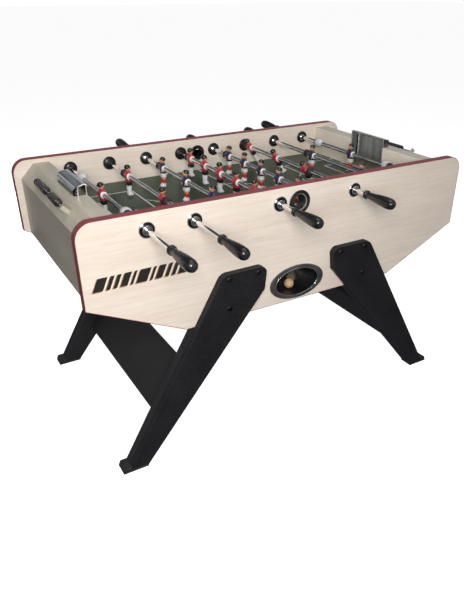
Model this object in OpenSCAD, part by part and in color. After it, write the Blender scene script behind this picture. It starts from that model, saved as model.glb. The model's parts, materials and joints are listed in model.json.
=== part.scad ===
// Foosball table with telescopic rods, splayed board legs and bead scorers.
// X runs along the table, Y across it, Z up. The origin is on the floor, under the middle.

/* [Cabinet] */
// Length of the side panels
table_length = 1460; // [1300:10:1600]
// Width over the outer faces of the side panels
table_width = 770; // [720:5:820]
// Height of the side panels' top edge above the floor
table_height = 876; // [840:1:900]
// Thickness of a side panel
panel_thickness = 30; // [24:1:36]
// Radius of the side panels' top corners
corner_radius = 52; // [30:1:70]
// Thickness of the coloured edging round each side panel
edging_thickness = 2; // [1:0.5:4]

/* [Playing area] */
// Height of the field's surface
field_height = 747; // [730:1:755]
// Distance from the middle of the field to a goal wall
goal_wall_x = 600; // [590:1:610]
// Half the width of a goal's mouth
goal_half_width = 98; // [80:1:105]
// Diameter of the ball
ball_diameter = 35; // [33:0.5:36]

/* [Rods] */
// Distance between neighbouring rods
rod_pitch = 150; // [148:1:152]
// Height of the rods' axes
rod_height = 824; // [822:1:830]
// Outer diameter of a sliding tube
tube_diameter = 16; // [15:0.5:18]
// Diameter of the inner rod that the tube slides on
inner_rod_diameter = 10; // [8:0.5:11]
// Radial running clearance of the rods in their bores
running_clearance = 0.05; // [0.02:0.01:0.09]
// Length of a hand grip
grip_length = 136; // [110:1:140]

/* [Legs] */
// Thickness of the outer leg board
outer_board_thickness = 25; // [20:1:30]
// Width of the brace boards between the legs
brace_width = 200; // [150:5:220]

/* [Hidden] */
$fn = 64;

half_length = table_length / 2;
half_width = table_width / 2;
inner_face = half_width - panel_thickness;

// The side panels' outline: upright ends, long sloping lower corners and a flat bottom.
shoulder_x = half_length - 2;
shoulder_z = 614;
foot_x = 420;
foot_z = 467;
chamfer_slope = (shoulder_z - foot_z) / (shoulder_x - foot_x);
chamfer_slant = sqrt(1 + chamfer_slope * chamfer_slope);

// Rods are numbered 1 to 8 from left to right. Hand is -1 where the grip is at the front.
hand = [-1, -1, 1, -1, 1, -1, 1, 1];
men_count = [1, 2, 3, 5, 5, 3, 2, 1];
// How far each rod is pushed along Y as it stands, and how far it is turned
rod_offset = [-6, 0, -12, 18, -25, 102, -88, 6];
rod_turn = [4, 0, 0, 0, 0, 30, 0, 0];
// Spacing of the men by their number on the rod
men_spacing = [0, 0, 310, 202, 0, 122];
// Distance from the middle of the men to the outer end of the bumper, by number of men
bumper_end = [0, 239, 197, 238, 0, 275];
// Length of the bumper, by number of men
bumper_length = [0, 12, 24, 17.5, 0, 13];
// Distance from the middle of the men to the grip's collar, by number of men
collar_distance = [0, 546, 552, 546, 0, 484];

// End caps: a flat top, a bevel and an upright end board, all of one thickness
cap_top = 860;
cap_bevel_x = 655;
cap_end_x = 705;
cap_bevel_z = 810;
cap_thickness = 20;
base_thickness = 15;
base_gap = 3;

goal_wall_thickness = 18;
field_thickness = 12;
goal_mouth_top = 888;
hood_depth = 40;
hood_bottom = 786;
sheet = 1.5;

bush_radius = 12.3;
bush_hole_radius = 12.5;
socket_depth = 20;
flange_radius = 25;
disc_thickness = 5;
entry_height = 818;
entry_hole_radius = 27;
entry_throat_radius = 19;
entry_slope = 14;
return_height = 537;
return_half_x = 84;
return_half_z = 46.5;
bezel_half_x = 109;
bezel_half_z = 61;
cup_depth = 74;
cup_wall = 3;

// Leg outline, as distances from the middle and heights
leg_inner_foot = 601;
leg_outer_foot = 666;
leg_knee = [143, 553];
leg_top_inner = 136;
leg_top_outer = 296;
leg_top_z = 635;
leg_top_inner_radius = 24;
leg_top_outer_radius = 34;
leg_inner_slope = (leg_inner_foot - leg_knee[0]) / leg_knee[1];
leg_outer_slope = (leg_outer_foot - leg_top_outer) / leg_top_z;
foot_height = 8;
toe_height = 20;
bolt_places = [[168, 618], [275, 618], [275, 515]];
bolt_radius = 4;

// Scorers stand on the bevel of each end cap
scorer_x = 691;
scorer_z = 848;
scorer_half_length = 160;
scorer_rod_radius = 3.5;
bead_radius = 13;
bead_length = 20;
bead_gap = 0.2;

function rod_x(k) = (k - 4.5) * rod_pitch;
function men_of(k) = men_count[k - 1];

// Points of an arc about c, from angle a to angle b
function arc(c, r, a, b, n = 10) =
  [for (i = [0:n]) [c[0] + r * cos(a + (b - a) * i / n), c[1] + r * sin(a + (b - a) * i / n)]];
function mirrored(points) = [for (i = [len(points) - 1:-1:0]) [-points[i][0], points[i][1]]];
function ellipse_points(a, b, n = 64) = [for (i = [0:n - 1]) [a * cos(360 * i / n), b * sin(360 * i / n)]];

// Right half of the side panels' outline, inset all round by d
function panel_half(d) = concat(
  [[foot_x + (1 - chamfer_slant) * d / chamfer_slope, foot_z + d]],
  [[shoulder_x - d, shoulder_z + (chamfer_slant - chamfer_slope) * d]],
  arc([half_length - corner_radius, table_height - corner_radius], corner_radius - d, 0, 90)
);
function panel_outline(d) = concat(panel_half(d), mirrored(panel_half(d)));

// The sloping floor's corner, and its height at any x, both d above the panels' lower edge
function floor_knee(d) = [foot_x + (1 - chamfer_slant) * d / chamfer_slope, foot_z + d];
function floor_height(x, d) = foot_z + (x - foot_x) * chamfer_slope + d * chamfer_slant;
function floor_end(d) = [cap_end_x, floor_height(cap_end_x, d)];

function leg_inner_x(z) = leg_inner_foot - leg_inner_slope * z;
function leg_outer_x(z) = leg_outer_foot - leg_outer_slope * z;

// A plate with an outline in X and Z, from y to y + thickness
module plate(y, thickness) {
  translate([0, y + thickness, 0])
    rotate([90, 0, 0])
      linear_extrude(thickness)
        children();
}

// A cylinder along Y, from y to y + length
module bar(x, y, z, length, radius) {
  translate([x, y, z])
    rotate([-90, 0, 0])
      cylinder(h = length, r = radius);
}

// The same things at both ends of the table, the left one turned half round
module both_ends() {
  for (a = [0, 180])
    rotate([0, 0, a])
      children();
}

// The four legs: a copy in each quarter
module four_legs() {
  for (side = [0, 1], end = [0, 1])
    mirror([end, 0, 0])
      mirror([0, side, 0])
        children();
}

/* Side panels. The one whose outer face looks towards side has through holes for the rods with
   their grip on that side, and blind holes for the ends of the others. */
module side_panel(side) {
  outer_y = side < 0 ? -half_width : inner_face;
  difference() {
    plate(outer_y, panel_thickness)
      polygon(panel_outline(edging_thickness));
    for (k = [1:8])
      if (hand[k - 1] == side)
        bar(rod_x(k), outer_y - 1, rod_height, panel_thickness + 2, bush_hole_radius);
      else
        bar(rod_x(k), side * (inner_face + socket_depth / 2) - socket_depth / 2 - 1, rod_height,
            socket_depth + 2, bush_hole_radius);
    bar(0, outer_y - 1, entry_height, panel_thickness + 2, entry_hole_radius);
    for (end = [-1, 1], place = bolt_places)
      bar(end * place[0], outer_y - 1, place[1], panel_thickness + 2, bolt_radius + 0.2);
    if (side < 0)
      translate([0, 0, return_height])
        plate(outer_y - 1, panel_thickness + 2)
          polygon(ellipse_points(return_half_x + cup_wall + 0.5, return_half_z + cup_wall + 0.5));
  }
}

module front_panel() {
  color("antiquewhite")
    side_panel(-1);
}

module back_panel() {
  color("antiquewhite")
    side_panel(1);
}

module edge_bands() {
  color("brown")
    for (outer_y = [-half_width, inner_face])
      plate(outer_y, panel_thickness)
        difference() {
          polygon(panel_outline(0));
          polygon(panel_outline(edging_thickness));
        }
}

/* End caps: flat top, bevel and end board, with a notch in the top at the goal. */
module end_caps() {
  bevel_inset = cap_thickness * tan(22.5);
  floor_top = base_gap + base_thickness;
  inner_x = cap_end_x - cap_thickness;
  color("tan")
    both_ends()
      difference() {
        plate(-inner_face, 2 * inner_face)
          polygon([
            [goal_wall_x, cap_top],
            [goal_wall_x, cap_top - cap_thickness],
            [cap_bevel_x - bevel_inset, cap_top - cap_thickness],
            [inner_x, cap_bevel_z - bevel_inset],
            [inner_x, floor_height(inner_x, floor_top)],
            floor_end(floor_top),
            [cap_end_x, cap_bevel_z],
            [cap_bevel_x, cap_top]
          ]);
        translate([goal_wall_x - 1, -goal_half_width, cap_top - cap_thickness - 1])
          cube([hood_depth + 1, 2 * goal_half_width, cap_thickness + 2]);
      }
}

/* Goal walls: a board at each end of the field with the goal's mouth cut out of its top. */
module goal_walls() {
  wall_bottom = field_height - 35;
  color("antiquewhite")
    both_ends()
      difference() {
        translate([goal_wall_x, -inner_face, wall_bottom])
          cube([goal_wall_thickness, 2 * inner_face, cap_top - cap_thickness - wall_bottom]);
        translate([goal_wall_x - 1, -goal_half_width, field_height])
          cube([goal_wall_thickness + 2, 2 * goal_half_width, 200]);
      }
}

module playfield() {
  color("darkgreen")
    translate([-goal_wall_x, -inner_face, field_height - field_thickness])
      cube([2 * goal_wall_x, 2 * inner_face, field_thickness]);
}

/* Base of the cabinet: a flat board and two sloping ones that run the ball back to the middle. */
module cabinet_base() {
  right = [
    floor_knee(base_gap),
    floor_end(base_gap),
    floor_end(base_gap + base_thickness),
    floor_knee(base_gap + base_thickness)
  ];
  color("tan")
    plate(-inner_face, 2 * inner_face)
      polygon(concat(right, mirrored(right)));
}

/* Goal hoods: sheet metal lining the goal and standing above the end cap. */
module hood_plan(inset, front_x) {
  r = 16 - inset;
  back_x = goal_wall_x + hood_depth - inset;
  half = goal_half_width - inset;
  polygon(concat(
    [[front_x, half]],
    arc([back_x - r, half - r], r, 90, 0, 8),
    arc([back_x - r, r - half], r, 0, -90, 8),
    [[front_x, -half]]
  ));
}

// The hood's side view: upright back, sloping corner and a slightly crowned top
module hood_side(inset) {
  back_x = goal_wall_x + hood_depth;
  plate(-goal_half_width, 2 * goal_half_width)
    polygon([
      [goal_wall_x - 3, hood_bottom - 2],
      [back_x + 1, hood_bottom - 2],
      [back_x + 1, cap_top + 12 - inset],
      [back_x - 6 - inset, goal_mouth_top - 2 - inset],
      [goal_wall_x + 8, goal_mouth_top + 6 - inset],
      [goal_wall_x - 3, goal_mouth_top + 4 - inset]
    ]);
}

module goal_hoods() {
  side_gap = 0.2;
  height = goal_mouth_top + 10 - hood_bottom;
  color("silver")
    both_ends()
      difference() {
        intersection() {
          translate([0, 0, hood_bottom])
            linear_extrude(height)
              hood_plan(side_gap, goal_wall_x);
          hood_side(0);
        }
        intersection() {
          translate([0, 0, hood_bottom - 1])
            linear_extrude(height)
              hood_plan(side_gap + sheet, goal_wall_x - 1);
          hood_side(sheet);
        }
      }
}

/* Ball cups: a round entry through each side panel, whose throat runs down into the table, and
   the oval return cup at the front. */
module entry_cup() {
  length = panel_thickness + 8;
  outer = entry_hole_radius - 0.3;
  difference() {
    translate([0, -half_width - 4, entry_height])
      rotate([-90, 0, 0])
        rotate_extrude()
          polygon([
            [0, 0], [38.5, 0], [40, 1.5], [40, 3.8], [outer, 3.8], [outer, length - 3.8],
            [30, length - 3.8], [30, length], [0, length]
          ]);
    translate([0, -half_width + panel_thickness / 2, entry_height])
      rotate([-90 - entry_slope, 0, 0])
        translate([0, 0, -50])
          cylinder(h = 100, r = entry_throat_radius);
    translate([0, -half_width - 4.01, entry_height])
      rotate([-90, 0, 0])
        cylinder(h = 8, r1 = 34, r2 = 20);
  }
}

module return_cup() {
  translate([0, 0, return_height]) {
    plate(-half_width - 6, 5.8)
      difference() {
        polygon(ellipse_points(bezel_half_x, bezel_half_z));
        polygon(ellipse_points(return_half_x, return_half_z));
      }
    plate(-half_width - 0.5, cup_depth)
      difference() {
        polygon(ellipse_points(return_half_x + cup_wall, return_half_z + cup_wall));
        polygon(ellipse_points(return_half_x, return_half_z));
      }
    plate(-half_width - 0.5 + cup_depth, cup_wall)
      difference() {
        polygon(ellipse_points(return_half_x + cup_wall, return_half_z + cup_wall));
        translate([30, -return_half_z + 24])
          circle(r = 22);
      }
  }
}

module ball_cups() {
  color("dimgray") {
    entry_cup();
    rotate([0, 0, 180])
      entry_cup();
    return_cup();
  }
}

/* Sliding bearings: a flanged bush through the panel on each rod's grip side. */
module sliding_bearing() {
  inner_end = half_width - inner_face + disc_thickness;
  bore = tube_diameter / 2 + running_clearance;
  rotate([-90, 0, 0])
    rotate_extrude()
      polygon([
        [bore, -10], [15, -10], [16, -9], [16, -5], [flange_radius - 1.5, -5], [flange_radius, -3.5],
        [flange_radius, -0.1], [bush_radius, -0.1], [bush_radius, inner_end], [bore, inner_end]
      ]);
}

module rod_bearings() {
  color("silver")
    for (k = [1:8])
      translate([rod_x(k), hand[k - 1] * half_width, rod_height])
        rotate([0, 0, hand[k - 1] < 0 ? 0 : 180])
          sliding_bearing();
}

/* Black discs on the inner faces: a ring round each sliding bearing, and a socket that holds
   the far end of each inner rod. */
module disc_ring() {
  rotate([-90, 0, 0])
    rotate_extrude()
      polygon([
        [bush_radius + 0.2, 0], [flange_radius, 0], [flange_radius, disc_thickness - 1.5],
        [flange_radius - 1.5, disc_thickness], [bush_radius + 0.2, disc_thickness]
      ]);
}

module end_socket() {
  bore = inner_rod_diameter / 2 + running_clearance;
  rotate([-90, 0, 0])
    rotate_extrude()
      polygon([
        [0, -socket_depth + 0.5], [bush_radius, -socket_depth + 0.5], [bush_radius, 0],
        [flange_radius, 0], [flange_radius, disc_thickness - 1.5],
        [flange_radius - 1.5, disc_thickness], [bore, disc_thickness],
        [bore, -socket_depth + 4], [0, -socket_depth + 4]
      ]);
}

module inner_discs() {
  color("black")
    for (k = [1:8]) {
      grip_side = hand[k - 1];
      translate([rod_x(k), grip_side * inner_face, rod_height])
        rotate([0, 0, grip_side < 0 ? 0 : 180])
          disc_ring();
      translate([rod_x(k), -grip_side * inner_face, rod_height])
        rotate([0, 0, grip_side < 0 ? 180 : 0])
          end_socket();
    }
}

/* Scorers: a rod on two posts on each bevel, with beads that slide along it. */
module scorer_rods() {
  post_depth = (scorer_x - cap_bevel_x + scorer_z - cap_top) / sqrt(2);
  color("silver")
    both_ends() {
      bar(scorer_x, -scorer_half_length - 4, scorer_z, 2 * scorer_half_length + 8, scorer_rod_radius);
      for (end = [-1, 1])
        translate([scorer_x, end * (scorer_half_length + 8), scorer_z])
          rotate([0, -45, 0])
            translate([-post_depth, -4, -7])
              cube([post_depth + bead_radius, 8, 14]);
    }
}

module bead_row(first_y, count) {
  for (i = [0:count - 1])
    translate([0, first_y + i * (bead_length + bead_gap), scorer_z])
      rotate([-90, 0, 0])
        rotate_extrude()
          polygon([
            [scorer_rod_radius + running_clearance, 0], [bead_radius - 1.5, 0], [bead_radius, 1.5],
            [bead_radius, bead_length - 1.5], [bead_radius - 1.5, bead_length],
            [scorer_rod_radius + running_clearance, bead_length]
          ]);
}

// Six beads are pushed to the back of the left rail and four stand nearer the front.
module scorer_beads_left() {
  color("black")
    translate([-scorer_x, 0, 0]) {
      bead_row(36, 6);
      bead_row(-98, 4);
    }
}

module scorer_beads_right() {
  color("black")
    translate([scorer_x, 0, 0])
      bead_row(-112, 10);
}

module ball() {
  color("peru")
    translate([0, -half_width + 45, return_height - return_half_z + ball_diameter / 2 + 1.8])
      sphere(r = ball_diameter / 2);
}

/* Legs. Each has an outer board lapped over the side panel and an inner board under it. */
module leg_outline(top) {
  inner_cut = foot_height;
  z_top = top ? leg_top_z : foot_z;
  polygon(concat(
    [[leg_inner_x(inner_cut), inner_cut]],
    [[leg_outer_x(inner_cut), inner_cut]],
    top
      ? arc([leg_top_outer - leg_top_outer_radius * 0.58, leg_top_z - leg_top_outer_radius],
            leg_top_outer_radius, 30, 90)
      : [[leg_outer_x(z_top), z_top]],
    top
      ? arc([leg_top_inner + leg_top_inner_radius, leg_top_z - leg_top_inner_radius],
            leg_top_inner_radius, 90, 180)
      : [[leg_inner_x(z_top), z_top]],
    top ? [leg_knee] : []
  ));
}

module leg_outer_boards() {
  color("dimgray")
    four_legs()
      difference() {
        plate(-half_width - outer_board_thickness, outer_board_thickness)
          leg_outline(true);
        for (place = bolt_places)
          bar(place[0], -half_width - outer_board_thickness - 1, place[1],
              outer_board_thickness + 2, bolt_radius + 0.2);
      }
}

module leg_inner_boards() {
  color("dimgray")
    four_legs()
      plate(-half_width, panel_thickness)
        leg_outline(false);
}

/* Braces: a sloping board between the front and back legs at each end. */
module leg_braces() {
  low = [532, 144];
  direction = [-sin(35), cos(35)];
  thickness = 25;
  color("dimgray")
    both_ends()
      plate(-inner_face, 2 * inner_face)
        polygon([
          low,
          low + brace_width * direction,
          low + brace_width * direction - thickness * [cos(35), sin(35)],
          low - thickness * [cos(35), sin(35)]
        ]);
}

module leg_feet() {
  color("black")
    four_legs()
      plate(-half_width - outer_board_thickness, panel_thickness + outer_board_thickness)
        polygon([
          [leg_inner_x(foot_height) + 2, 0],
          [leg_outer_foot + 19, 0],
          [leg_outer_foot + 12, toe_height],
          [leg_outer_x(toe_height), toe_height],
          [leg_outer_x(foot_height), foot_height],
          [leg_inner_x(foot_height), foot_height]
        ]);
}

module leg_bolts() {
  length = outer_board_thickness + panel_thickness;
  color("gray")
    four_legs()
      for (place = bolt_places)
        translate([place[0], -half_width - outer_board_thickness, place[1]])
          rotate([-90, 0, 0])
            rotate_extrude()
              polygon([
                [0, -4], [4, -3.6], [8, -2], [10, 0], [bolt_radius, 0], [bolt_radius, length],
                [9, length], [9, length + 6], [0, length + 6]
              ]);
}

/* Rods. Each is drawn with its grip towards -Y, then turned and moved to its place. */
module place_rod(k) {
  translate([rod_x(k), rod_offset[k - 1], rod_height])
    rotate([0, -rod_turn[k - 1], 0])
      rotate([0, 0, hand[k - 1] < 0 ? 0 : 180])
        children();
}

module inner_rod(k) {
  color("silver")
    translate([rod_x(k), 0, rod_height])
      rotate([0, 0, hand[k - 1] < 0 ? 0 : 180])
        bar(0, -300, 0, inner_face + 14 + 300, inner_rod_diameter / 2);
}

module rod_tube(k) {
  far_end = bumper_end[men_of(k)] + 0.5;
  near_end = -collar_distance[men_of(k)] - 100;
  color("silver")
    place_rod(k)
      difference() {
        bar(0, near_end, 0, far_end - near_end, tube_diameter / 2);
        bar(0, near_end + 60, 0, far_end - near_end, inner_rod_diameter / 2 + running_clearance);
      }
}

module man_side() {
  polygon([
    [-8, -70], [13, -70], [13, -64], [6, -58], [8, -43], [10, -28], [11, -12], [11.5, 4], [10, 14],
    [6, 20], [-6, 20], [-10, 14], [-11.5, 4], [-11, -12], [-10, -28], [-8, -43], [-7, -58]
  ]);
}

module man_front() {
  polygon([
    [-10.5, -70], [10.5, -70], [10.5, -62], [8.5, -56], [11.5, -40], [14, -28], [13.5, -14],
    [17, -8], [17.5, 6], [15, 14], [7, 20], [-7, 20], [-15, 14], [-17.5, 6], [-17, -8], [-13.5, -14],
    [-14, -28], [-11.5, -40], [-8.5, -56], [-10.5, -62]
  ]);
}

module man() {
  difference() {
    union() {
      intersection() {
        plate(-18, 36)
          man_side();
        rotate([0, 0, 90])
          plate(-18, 36)
            man_front();
      }
      bar(0, -17, 0, 34, 12.5);
      translate([1, 0, 18])
        cylinder(h = 6, r = 6);
      translate([1, 0, 29.5])
        sphere(r = 11.5);
    }
    bar(0, -20, 0, 40, tube_diameter / 2 + 0.1);
  }
}

module men(k) {
  count = men_of(k);
  color(hand[k - 1] < 0 ? "crimson" : "navy")
    place_rod(k)
      for (i = [0:count - 1])
        translate([0, (i - (count - 1) / 2) * men_spacing[count], 0])
          man();
}

/* Bumpers: a black ring outside the end men; a lone goalkeeper also gets white domed stops. */
module bumpers(k) {
  count = men_of(k);
  length = bumper_length[count];
  bore = tube_diameter / 2 + 0.1;
  place_rod(k)
    for (end = [0, 180])
      rotate([0, 0, end])
        translate([0, bumper_end[count], 0])
          rotate([90, 0, 0]) {
            color("black")
              rotate_extrude()
                polygon([
                  [bore, 0], [13, 0], [14.5, 1.5], [14.5, length - 2], [13, length], [bore, length]
                ]);
            if (count == 1)
              color("whitesmoke")
                rotate_extrude()
                  polygon(concat(
                    [[bore, 46], [bore, length + 0.2], [18, length + 0.2], [19, length + 2]],
                    [[19, length + 12]],
                    arc([0, 26], 19, 5, 62, 8)
                  ));
          }
}

/* Grips: a collar, a slim neck and a swelling body with a round end. */
module grip(k) {
  bore = tube_diameter / 2 + 0.1;
  color("black")
    place_rod(k)
      translate([0, -collar_distance[men_of(k)], 0])
        rotate([90, 0, 0])
          difference() {
            rotate_extrude()
              polygon([
                [0, 0], [13, 0], [14.5, 1.5], [14.5, 9], [13, 11], [11.5, 13], [11, 18], [12, 28],
                [14.2, 48], [16.6, 72], [18.3, 92], [18.5, grip_length - 28],
                [18.2, grip_length - 18], [16.2, grip_length - 9], [10, grip_length - 2],
                [0, grip_length]
              ]);
            translate([0, 0, -1])
              cylinder(h = 102, r = bore);
          }
}

front_panel();
back_panel();
edge_bands();
end_caps();
goal_walls();
playfield();
cabinet_base();
goal_hoods();
ball_cups();
rod_bearings();
inner_discs();
scorer_rods();
scorer_beads_left();
scorer_beads_right();
ball();
leg_outer_boards();
leg_inner_boards();
leg_braces();
leg_feet();
leg_bolts();
for (k = [1:8]) {
  inner_rod(k);
  rod_tube(k);
  men(k);
  bumpers(k);
  grip(k);
}
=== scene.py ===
# %% [markdown]
# # A foosball table, piece by piece
# The real thing is a wooden cabinet on four splayed board legs. Eight steel rods cross a green
# field, and each carries its players, rubber bumpers and a hand grip. The shapes that matter for
# size and motion are fixed already, in a frame that is loaded first. This lesson makes a finished
# piece for each part of that frame, and lets every piece ride on the body that it belongs to.

import json
import math

import bmesh
import bpy
from mathutils import Euler, Matrix, Vector, noise


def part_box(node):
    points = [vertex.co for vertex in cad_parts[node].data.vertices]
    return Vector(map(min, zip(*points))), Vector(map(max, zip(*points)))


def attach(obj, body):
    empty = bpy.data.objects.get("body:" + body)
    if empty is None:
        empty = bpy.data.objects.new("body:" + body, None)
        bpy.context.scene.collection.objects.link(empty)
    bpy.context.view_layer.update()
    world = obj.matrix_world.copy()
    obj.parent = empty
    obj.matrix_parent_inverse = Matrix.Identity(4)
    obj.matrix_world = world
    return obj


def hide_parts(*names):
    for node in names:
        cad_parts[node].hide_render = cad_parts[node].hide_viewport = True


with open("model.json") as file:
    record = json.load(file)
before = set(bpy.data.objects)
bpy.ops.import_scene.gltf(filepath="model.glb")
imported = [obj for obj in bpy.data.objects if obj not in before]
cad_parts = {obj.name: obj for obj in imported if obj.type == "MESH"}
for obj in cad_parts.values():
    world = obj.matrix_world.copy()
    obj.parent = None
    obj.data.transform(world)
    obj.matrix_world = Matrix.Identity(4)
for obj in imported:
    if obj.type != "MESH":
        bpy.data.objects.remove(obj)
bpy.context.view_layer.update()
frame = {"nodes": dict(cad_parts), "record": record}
record_bodies = frame["record"]["behaviour"]["bodies"]
scene = bpy.context.scene

# %% [markdown]
# ## The rods' places
# Every rod has the same layout, so its numbers are read from the frame once and used by the
# players, the bumpers, the grips and the bearings. Shapes are drawn in millimetres, because that
# is how a maker thinks of them, and are brought to metres when a piece is finished.

# %% Read each rod's place
MM = 0.001
PLAYER_COUNTS = (1, 2, 3, 5, 5, 3, 2, 1)
PLAYER_SPACING = {1: 0, 2: 310, 3: 202, 5: 122}
ROD_TURNS = (4, 0, 0, 0, 0, 30, 0, 0)


def box_mm(node):
    """Lowest corner, highest corner and middle of a node, in millimetres."""
    low, high = (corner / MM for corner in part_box(node))
    return low, high, (low + high) / 2


rods = {}
for number, (count, turn) in enumerate(zip(PLAYER_COUNTS, ROD_TURNS), start=1):
    axis = box_mm(f"inner_rod_{number}")[2]
    middle = box_mm(f"bumpers_{number}")[2]
    grip_low, grip_high, grip_middle = box_mm(f"grip_{number}")
    side = 1 if grip_middle.y > 0 else -1
    rods[number] = {
        "place": Vector((axis.x, middle.y, axis.z)),
        "side": side,
        "count": count,
        "turn": Euler((0, -math.radians(turn), 0 if side < 0 else math.pi)),
        "collar": grip_high.y if side < 0 else grip_low.y,
    }
    print("rod", number, "side", side, "at", [round(v, 1) for v in rods[number]["place"]])

# %% [markdown]
# ## One way to write nodes
# A material or a geometry recipe is a sheet of linked nodes. Written out link by link it is long
# and hard to read, so a sheet has one method that adds any node: its type, its settings, and the
# values or links of its sockets. What comes out is wrapped, so that Python's own + and * work on
# it and add the Math nodes.

# %% The sheet and the wire


class Wire:
    """A node's output socket that arithmetic works on."""

    def __init__(self, sheet, socket):
        self.sheet = sheet
        self.socket = socket

    def maths(self, operation, *values):
        return self.sheet.node("ShaderNodeMath", {"operation": operation}, dict(enumerate(values)))

    def __add__(self, other):
        return self.maths("ADD", self, other)

    def __mul__(self, other):
        return self.maths("MULTIPLY", self, other)

    __radd__ = __add__
    __rmul__ = __mul__


class Sheet:
    """A node tree that is filled by one method."""

    def __init__(self, tree):
        self.tree = tree

    def node(self, kind, settings=None, inputs=None, output=0):
        made = self.tree.nodes.new(kind)
        for key, value in (settings or {}).items():
            if key == "stops":
                for place, colour in value[2:]:
                    made.color_ramp.elements.new(place)
                for element, (place, colour) in zip(made.color_ramp.elements, value):
                    element.position = place
                    element.color = (*colour, 1)
            else:
                setattr(made, key, value)
        for key, value in (inputs or {}).items():
            if isinstance(value, Wire):
                self.tree.links.new(value.socket, made.inputs[key])
            else:
                made.inputs[key].default_value = value
        return Wire(self, made.outputs[output])

    def end(self, kind, wire):
        """Adds the sheet's last node and links the result to it."""
        self.tree.links.new(wire.socket, self.tree.nodes.new(kind).inputs[0])


print("sheet ready")

# %% [markdown]
# ## A finish
# A finish is a sheet that ends in one Principled shader. It knows the few things that each of
# the table's surfaces needs: where a point is on the piece, noise that can be stretched into
# grain or brushing, a colour ramp, a mask for edges that are lightened as wear on plastics and
# as a painted highlight on the legs, and a bump. Object coordinates are used all through, so a
# pattern is as big as it is on the real thing and stays on its piece.

# %% The finish


class Finish(Sheet):
    """A material under the hand: every surface pattern starts here."""

    def __init__(self, name):
        self.material = bpy.data.materials.new(name)
        self.material.use_nodes = True
        super().__init__(self.material.node_tree)
        self.tree.nodes.clear()
        self.here = self.node("ShaderNodeTexCoord", output="Object")

    def noise(self, stretch, detail=3.0, roughness=0.55):
        """Noise that is stretched evenly by a number, or along X, Y and Z by three."""
        scale = stretch if isinstance(stretch, (tuple, list)) else (stretch,) * 3
        place = self.node("ShaderNodeMapping", None, {"Vector": self.here, "Scale": scale})
        values = {"Vector": place, "Scale": 1.0, "Detail": detail, "Roughness": roughness}
        return self.node("ShaderNodeTexNoise", None, values)

    def ramp(self, factor, *stops):
        return self.node("ShaderNodeValToRGB", {"stops": stops}, {"Fac": factor})

    def blend(self, factor, first, second):
        first, second = (c if isinstance(c, Wire) else (*c, 1) for c in (first, second))
        values = {0: factor, 6: first, 7: second}
        return self.node("ShaderNodeMix", {"data_type": "RGBA"}, values, output=2)

    def mask(self, value, low, high):
        values = {"Value": value, "From Min": low, "From Max": high}
        return self.node("ShaderNodeMapRange", None, values)

    # Lightens edges: as wear on plastics and as a painted highlight on the leg laminate.
    def edge_wear_and_highlight(self, low=0.53, high=0.6):
        sharpness = self.node("ShaderNodeNewGeometry", output="Pointiness")
        return self.mask(sharpness, low, high)

    def bump(self, height, depth, strength=0.6):
        values = {"Height": height, "Distance": depth, "Strength": strength}
        return self.node("ShaderNodeBump", None, values)

    def close(self, **sockets):
        """Ends the sheet in a Principled shader with the sockets that are given."""
        values = {}
        for key, value in sockets.items():
            socket = key.replace("_", " ").title().replace("Ior", "IOR")
            values[socket] = (*value, 1) if isinstance(value, tuple) else value
        self.end("ShaderNodeOutputMaterial", self.node("ShaderNodeBsdfPrincipled", None, values))
        print("finish", self.material.name, len(self.tree.nodes), "nodes")
        return self.material


finishes = {}

# %% [markdown]
# ## Laminate on the boards
# The cabinet is chipboard under a printed pale maple laminate: long soft streaks, finer pores
# along them, a satin face. One function serves the side panels, whose grain runs along the
# table, the goal walls, whose grain runs across it, and the greyer end boards.

# %% Make the laminates


def laminate(name, pale, deep, grain, gloss):
    """Printed wood: grain is the stretch of the streaks along X, Y and Z."""
    board = Finish(name)
    cloud = board.noise([g * 0.12 + 0.8 for g in grain], 3)
    streak = board.noise(grain, 5, 0.6)
    pore = board.noise([g * 4 for g in grain], 2)
    tone = cloud * 0.36 + streak * 0.40 + pore * 0.24
    colour = board.ramp(tone, (0.38, deep), (0.60, pale))
    normal = board.bump(streak * 0.5 + pore * 0.5, depth=0.0004, strength=0.35)
    return board.close(base_color=colour, roughness=gloss + streak * 0.16, normal=normal)


ALONG_TABLE = (4.5, 70, 110)
ACROSS_TABLE = (70, 4.5, 110)
PALE = ((0.87, 0.785, 0.695), (0.75, 0.655, 0.560))
GREIGE = ((0.54, 0.508, 0.415), (0.42, 0.390, 0.312))
finishes["laminate"] = laminate("pale laminate", *PALE, ALONG_TABLE, 0.34)
finishes["cross_laminate"] = laminate("pale cross laminate", *PALE, ACROSS_TABLE, 0.34)
finishes["shelf_laminate"] = laminate("greige laminate", *GREIGE, ACROSS_TABLE, 0.30)

# %% [markdown]
# ## Leg laminate, edging and moulded plastics
# The legs wear a black laminate with a fine speckle, and their rounded edges are painted a little
# lighter as a highlight. The side panels have a burgundy plastic edging. Moulded plastic is never
# one even tone: it has slight flow marks, a fine spark texture, handling marks that change the
# gloss and edges worn a little lighter.

# %% Make the leg laminate and the plastics


def speckled(name, base, fleck, worn):
    """Black laminate with small pale flecks and edges painted lighter as a highlight."""
    board = Finish(name)
    fine = board.noise(300, 2)
    broad = board.noise(9, 3)
    flecks = board.mask(fine + broad * 0.10, 0.62, 0.72)
    colour = board.blend(flecks * 0.6, board.ramp(broad, (0.3, base), (0.7, worn)), fleck)
    # The rounded edges are painted lighter with the fleck colour as a highlight.
    colour = board.blend(board.edge_wear_and_highlight() * 0.5, colour, fleck)
    normal = board.bump(fine, depth=0.0004, strength=0.5)
    rough = 0.46 + fine * 0.2
    return board.close(base_color=colour, roughness=rough, normal=normal, specular_ior_level=0.22)


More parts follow.
